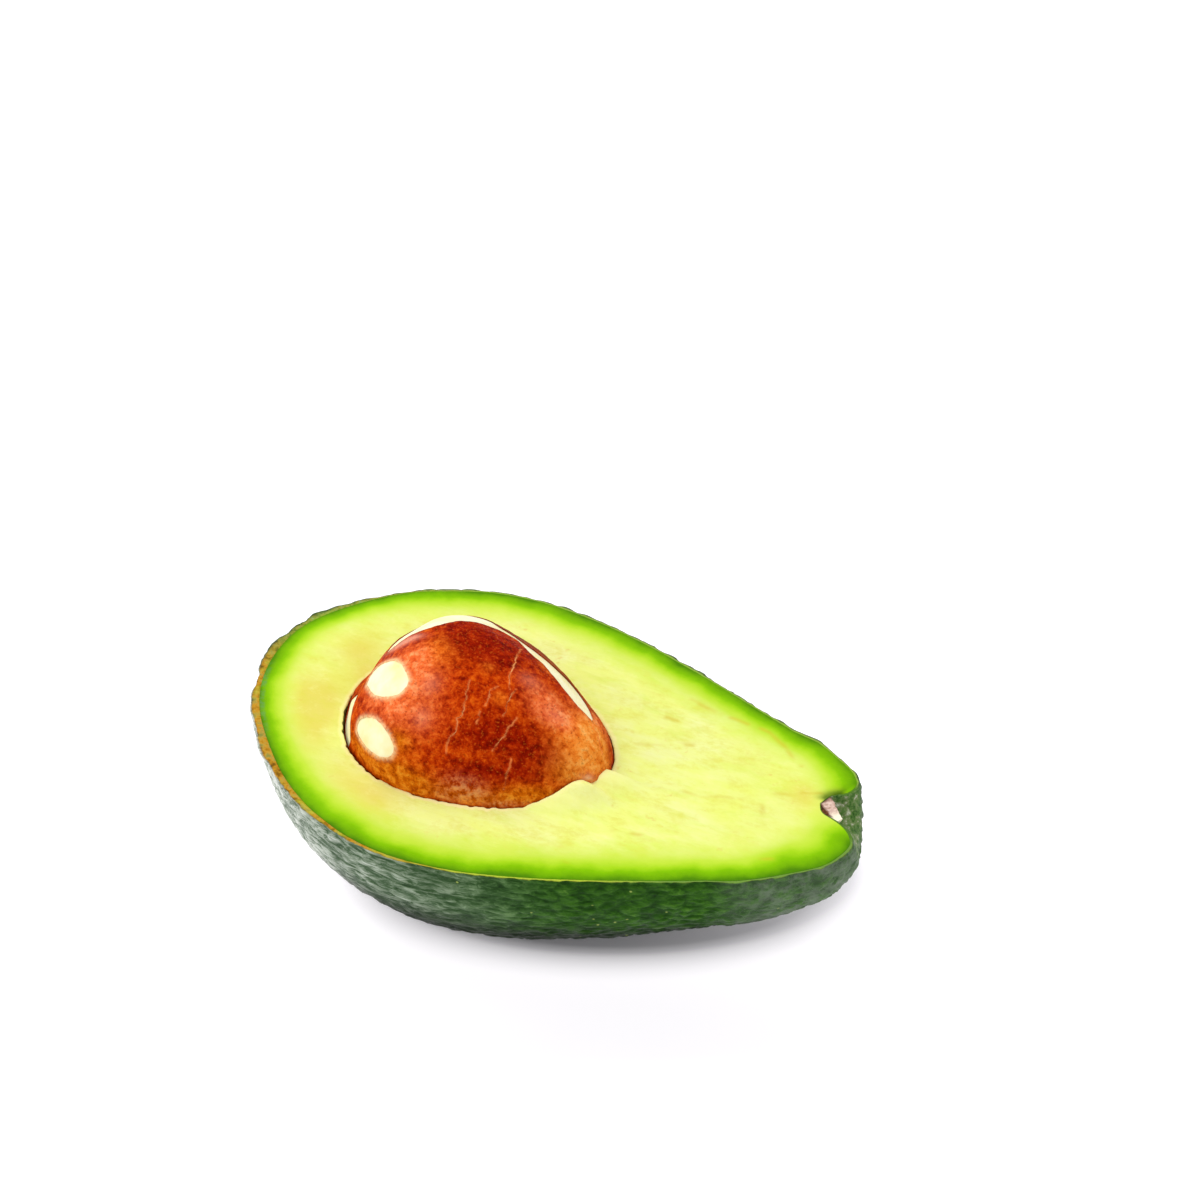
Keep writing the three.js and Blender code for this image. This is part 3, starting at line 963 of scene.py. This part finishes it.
def on_seed(marks):
    """Places on the seed's surface from (along, degrees round) marks."""
    along, round_it = np.array(marks, float).T
    share = np.clip((along - SEED_BLUNT_END) / SEED_LENGTH, 0, 1)
    turn, roll = np.arccos(1 - 2 * share), np.radians(round_it)
    ball = np.stack([-np.cos(turn), np.sin(turn) * np.cos(roll), np.sin(turn) * np.sin(roll)], 1)
    places, outward = seed_surface(ball)
    return places + outward * seed_lumps(places)[:, None]


def steps_along(marks, passes, step):
    """How many steps there are on a line through the marks."""
    line = on_seed(rounded(marks, passes))
    return int(np.linalg.norm(np.diff(line, axis=0), axis=1).sum() / step)


def edge_line(marks, count, rag, seed):
    """A torn edge through the marks: count places at equal steps, each a little off the line."""
    route = evenly_spaced(rounded(marks, 2) * (1, METRES_A_DEGREE), ROUTE_STEPS) / (1, METRES_A_DEGREE)
    line = evenly_spaced(on_seed(route), count)
    ragged = shifts(line, RAG_SIZES[0], seed) + 0.4 * shifts(line, RAG_SIZES[1], seed + 3)
    taper = np.sin(np.linspace(0, math.pi, count))[:, None] ** 0.3
    return line + rag * ragged * taper


def wedge(name, one_edge, other_edge, steps=1):
    """A wedge, its sides aimed at the middle of the seed, between two edges of equally many places."""
    deselect_all()
    bpy.ops.mesh.primitive_grid_add(x_subdivisions=len(one_edge) - 1, y_subdivisions=steps, size=2)
    made = bpy.context.object
    made.name = name
    rays = [one_edge - SEED_MIDDLE, other_edge - SEED_MIDDLE]
    reach = [np.linalg.norm(ray, axis=1)[:, None] for ray in rays]
    places = []
    for share in np.linspace(0, 1, steps + 1):
        ray = rays[0] * (1 - share) + rays[1] * share
        ray /= np.linalg.norm(ray, axis=1)[:, None]
        places.append(WEDGE_ROOT * ray * (reach[0] * (1 - share) + reach[1] * share) + SEED_MIDDLE)
    move_corners(made, np.concatenate(places))
    open_up(made)
    bpy.ops.mesh.extrude_region_move()
    bpy.ops.transform.resize(value=(WEDGE_GROWTH,) * 3, center_override=SEED_MIDDLE)
    leave_edit_mode()
    face_outwards(made)
    return made


def cut_out(piece, cutter):
    """Takes a wedge out of the piece."""
    choose(piece)
    cut = piece.modifiers.new("cut", "BOOLEAN")
    cut.operation, cut.object, cut.solver = "DIFFERENCE", cutter, "MANIFOLD"
    bpy.ops.object.modifier_apply(modifier=cut.name)
    bpy.data.objects.remove(cutter)


def spot(along, round_it, at, roll, half_length, half_width):
    """1 in the middle of an oval spot on the seed, fading out over its half length and half width."""
    return np.exp(-(((along - at) / half_length) ** 2 + ((round_it - roll) / half_width) ** 2))


coat = block_of_squares("seed_coat_skin", COAT_SQUARES)
upper_half = corners_of(coat)[:, 2] > -0.001
pick(coat, upper_half)
bpy.ops.mesh.subdivide(number_cuts=COAT_CUTS)
leave_edit_mode()
lining = block_of_squares("coat_lining", COAT_SQUARES, 2 * INSIDE_SIZE)
open_up(lining)
bpy.ops.mesh.flip_normals()
leave_edit_mode()
choose(coat, lining)
bpy.ops.object.join()

edges, wedges = [], []
for number, (one, other) in enumerate([*TEARS.values(), *WINDOWS.values()]):
    count = steps_along(one, 2, EDGE_STEP)
    edges += [edge_line(one, count, EDGE_RAG, 50 + 7 * number),
              edge_line(other, count, EDGE_RAG, 53 + 7 * number)]
    wedges.append(wedge("tear", *edges[-2:], TEAR_STEPS))
tear_edges = np.concatenate(edges[:2 * len(TEARS)])
window_edges = np.concatenate(edges[2 * len(TEARS):])
crack_lines = []
for number, (half_gap, marks) in enumerate(CRACKS):
    line = edge_line(marks, steps_along(marks, 1, CRACK_STEP), CRACK_RAG, 90 + 7 * number)
    crack_lines.append(line)
    aside = np.cross(line - SEED_MIDDLE, np.gradient(line, axis=0))
    aside /= np.linalg.norm(aside, axis=1)[:, None]
    taper = np.sin(np.linspace(0.12, 3.02, len(line))) ** 0.6
    gap = half_gap * (0.9 + 0.6 * swells(line, 0.0011, 90 + number)) * taper
    wedges.append(wedge("crack", line + aside * gap[:, None], line - aside * gap[:, None]))
crack_marks = np.concatenate(crack_lines)

ball, cube_size = blown_up(corners_of(coat))
outside, outward = seed_surface(ball)
depth_in = (1 - cube_size) / (1 - INSIDE_SIZE)
curl = EDGE_CURL * beside(outside, tear_edges, EDGE_CURL_REACH)
curl += CRACK_CURL * beside(outside, crack_marks, CRACK_CURL_REACH)
round_it = np.degrees(np.arctan2(outside[:, 2] - SEED_HEIGHT, outside[:, 1] - SEED_SIDE))
curl += FLAP_HEIGHT * spot(outside[:, 0], round_it, *FLAP)
wrinkle = layered(outside, WRINKLES)
stand_off = seed_lumps(outside) + (wrinkle + curl) * (1 - depth_in) - COAT_WALL * depth_in
move_corners(coat, outside + outward * stand_off[:, None])
for cutter in wedges:
    cut_out(coat, cutter)

# The cuts leave a few needle triangles back to back, which go when their corners merge.
open_up(coat)
bpy.ops.mesh.remove_doubles(threshold=MERGE_REACH)
select_open_edges()
bpy.ops.mesh.delete(type="ONLY_FACE")
bpy.ops.mesh.select_all(action="SELECT")
bpy.ops.mesh.delete_loose()
leave_edit_mode()

# Patches on the coat, its own stains and painted sheen: how far along, degrees round, their half length and
# half width in degrees.
STAINS_AND_SHEEN = {
    "dark_red": [(-0.0030, 76, 0.0062, 13), (0.0030, 66, 0.0050, 8), (0.0116, 132, 0.0050, 15),
                 (0.0060, 124, 0.0036, 8), (0.0036, 134, 0.0034, 7), (-0.0060, 74, 0.0050, 6),
                 (-0.0048, 84, 0.0046, 9), (0.0000, 84, 0.0040, 8), (0.0040, 155, 0.0042, 6),
                 (0.0098, 150, 0.0036, 6)],
    # partly the coat's salmon colour, partly a painted highlight from the left
    "salmon_and_sheen": [(-0.0118, 130, 0.0058, 12), (-0.0144, 113, 0.0047, 8), (-0.0104, 112, 0.0036, 8),
               (0.0102, 90, 0.0022, 8), (-0.0116, 101, 0.0026, 6), (0.0118, 99, 0.0030, 7),
               (0.0155, 92, 0.0036, 10), (0.0164, 60, 0.0030, 14)],
    "orange": [(-0.0084, 96, 0.0026, 10), (0.0001, 92, 0.0011, 4), (0.0044, 108, 0.0010, 4),
               (0.0065, 60, 0.0024, 7), (0.0170, 104, 0.0040, 20), (0.0196, 112, 0.0030, 28)],
    "amber": [(-0.0112, 166, 0.0060, 9), (-0.0165, 166, 0.0040, 9), (0.0135, 166, 0.0050, 8),
              (-0.0072, 172, 0.0045, 9), (-0.0096, 148, 0.0026, 6), (0.0178, 140, 0.0032, 14),
              (0.0040, 172, 0.0080, 7)],
    # painted sheen, in lilac patches
    "lilac_sheen": [(-0.0069, 116, 0.0016, 5), (-0.0063, 133, 0.0015, 5), (0.0069, 86, 0.0018, 6),
              (0.0128, 95, 0.0020, 7)],
    "golden": [(0.0194, 112, 0.0034, 32), (0.0187, 80, 0.0032, 18)],
    # painted sheen, pale pink, at the upper left
    "pale": [(-0.0176, 89, 0.0022, 5), (-0.0150, 88, 0.0020, 3)],
    "bleached": [(0.0025, 163, 0.0030, 5), (0.0003, 172, 0.0024, 4), (0.0042, 168, 0.0026, 4),
                 (0.0087, 174, 0.0030, 3)],
}
places = corners_of(coat)
x, y, z = places.T
side = np.interp(np.clip((x - SEED_BLUNT_END) / SEED_LENGTH, 0, 1), seed_share, seed_side)
round_it = np.degrees(np.arctan2(z - SEED_HEIGHT, y - side))
for name, marks in STAINS_AND_SHEEN.items():
    note(coat, name, np.clip(sum(spot(x, round_it, *mark) for mark in marks), 0, 1))
behind = smoothstep(53, 47, round_it) * smoothstep(28, 40, round_it)
# a painted pinkish highlight along the lifted flap
note(coat, "lifted", spot(x, round_it, *FLAP) * (0.5 + 0.5 * swells(places, 0.0007, 49)))
note(coat, "far_strip", behind * smoothstep(-0.010, -0.004, x) * smoothstep(0.017, 0.012, x))
note(coat, "torn", beside(places, tear_edges, 0.0003))
note(coat, "worn", beside(places, window_edges, 0.00055))
note(coat, "cracked", beside(places, crack_marks, 0.00020))
note(seed, "crack_bed", beside(corners_of(seed), crack_marks, 0.0009))
shade_smooth(coat, COAT_CREASE)

tree, shader = new_finish(coat, "papery_coat")
own = stretched()
mottle = grain(own, 0.0014, 8, 0.68, 0.15)
rust = blend_by(mottle, [(0.34, (116, 14, 0)), (0.44, (160, 34, 0)), (0.54, (192, 60, 2)),
                         (0.66, (218, 92, 12))])
# A patch is mottled as the coat is, the salmon one partly painted sheen: how strong it is, and its darkest,
# middle and lightest colours.
STAIN_AND_SHEEN_COLOURS = {
    "orange": (0.85, (194, 68, 4), (232, 110, 22), (248, 154, 58)),
    # partly the coat's salmon colour, partly a painted highlight
    "salmon_and_sheen": (0.92, (206, 68, 22), (238, 112, 54), (252, 160, 104)),
    "amber": (0.85, (150, 58, 0), (206, 104, 4), (238, 152, 40)),
    "dark_red": (0.9, (92, 4, 0), (138, 15, 0), (172, 38, 2)),
    "golden": (0.95, (214, 100, 16), (240, 142, 50), (250, 178, 92)),
}
for name, (strength, dark, middle, light) in STAIN_AND_SHEEN_COLOURS.items():
    patch_ramp = blend_by(mottle, [(0.34, dark), (0.5, middle), (0.66, light)])
    rust = tinted(rust, name, strength, patch_ramp)
# painted sheen, in lilac patches
rust = tinted(rust, "lilac_sheen", 0.3, (226, 140, 110))
# painted sheen, pale pink, at the upper left
rust = tinted(rust, "pale", 0.7, (226, 160, 134))
speckle = grain(own, 0.00045, 4, 0.6)
rust = mixed(fitted(speckle, 0.55, 0.66, 0.0, 0.45), rust, (104, 20, 2))
rust = mixed(fitted(speckle, 0.45, 0.34, 0.0, 0.25), rust, (246, 128, 36))
frost = times(noted("bleached"), fitted(grain(own, 0.0014, 5, 0.7), 0.42, 0.6))
rust = mixed(times(frost, 0.36), rust, (208, 168, 124))
rust = tinted(rust, "torn", 0.6, (110, 34, 8))
worn = times(noted("worn"), fitted(grain(own, 0.0006, 4), 0.3, 0.6, 0.3, 1.0))
rust = mixed(times(worn, 0.8), rust, (248, 214, 160))
thin_line = maths("POWER", noted("cracked"), 2.0)
rust = mixed(times(thin_line, 0.9), rust, (255, 146, 76))
rust = tinted(rust, "far_strip", 0.7, (112, 50, 16))
# a painted pinkish highlight along the lifted flap
rust = tinted(rust, "lifted", 0.75, (240, 196, 150))
feed(shader, {"Base Color": rust, "Specular IOR Level": 0.01,
              "Roughness": fitted(grain(own, 0.003, 3), 0.3, 0.7, 0.36, 0.55),
              "Normal": bumped(grain(own, 0.0007, 5, 0.6), 0.00008, 0.8)})

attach(coat, "root")
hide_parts("seed_coat")


# ---------------------------------------------------------------- stem stub
# The stub of the stem: a chip of dry wood with dark bark, sliced in half with the fruit and stuck to
# the wall of the pit.
STUB_START, STUB_END = Vector((0.0570, 0.0082, CUT_HEIGHT)), Vector((0.0612, 0.0047, CUT_HEIGHT))
STUB_LENGTH = (STUB_END - STUB_START).length
STUB_RADIUS, STUB_TAPER = 0.0016, 0.42
STUB_SIDES, STUB_CUTS = 20, 5
SPLINTERS = 0.00022
STUB_DROP = 0.0001
STUB_CREASE = 40
deselect_all()
bpy.ops.mesh.primitive_cylinder_add(vertices=STUB_SIDES, radius=STUB_RADIUS, depth=STUB_LENGTH)
stub = bpy.context.object
stub.name = stub.data.name = "stem_chip"
open_up(stub)
bpy.ops.mesh.bisect(plane_co=(0, 0, 0), plane_no=(0, 1, 0), use_fill=True, clear_outer=True)
bpy.ops.mesh.select_all(action="SELECT")
bpy.ops.mesh.quads_convert_to_tris()
bpy.ops.mesh.subdivide(number_cuts=STUB_CUTS)
bpy.ops.mesh.subdivide(number_cuts=1)
leave_edit_mode()

places = corners_of(stub)
tip_share = (places[:, 2] + STUB_LENGTH / 2) / STUB_LENGTH
places[:, :2] *= (1 - STUB_TAPER * tip_share)[:, None]
bark = np.maximum(smoothstep(0.15, 0.40, places[:, 0] / STUB_RADIUS), smoothstep(0.16, 0.04, tip_share))
bark = np.maximum(bark, smoothstep(-0.00002, -0.00025, places[:, 1])) * smoothstep(0.92, 0.70, tip_share)
along_stub = (STUB_END - STUB_START).normalized()
side_stub = Vector((0, 0, 1)).cross(along_stub)
places = places @ np.array([-side_stub, (0, 0, 1), along_stub]) + np.array((STUB_START + STUB_END) / 2)
places = places + SPLINTERS * (shifts(places, 0.0010, 43) + 0.5 * shifts(places, 0.0004, 46))
places[:, 2] = np.minimum(places[:, 2], CUT_HEIGHT - STUB_DROP)
move_corners(stub, places)
face_outwards(stub)
note(stub, "bark", np.clip(bark, 0, 1))
note(stub, "pale_end", smoothstep(0.5, 0.9, tip_share))
shade_smooth(stub, STUB_CREASE)

tree, shader = new_finish(stub, "dry_stem")
own = stretched()
wood = mixed(fitted(grain(own, 0.0006, 4), 0.35, 0.65), (176, 138, 120), (228, 200, 186))
wood = mixed(noted("pale_end"), wood, (252, 240, 214))
dark_bark = mixed(fitted(grain(own, 0.0005, 4), 0.35, 0.65), (52, 26, 10), (116, 66, 30))
wood = mixed(noted("bark"), wood, dark_bark)
feed(shader, {"Base Color": wood, "Roughness": 0.8, "Specular IOR Level": 0.2,
              "Normal": bumped(grain(own, 0.0008, 3), 0.00008, 0.8)})

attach(stub, "root")
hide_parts("stem_stub")
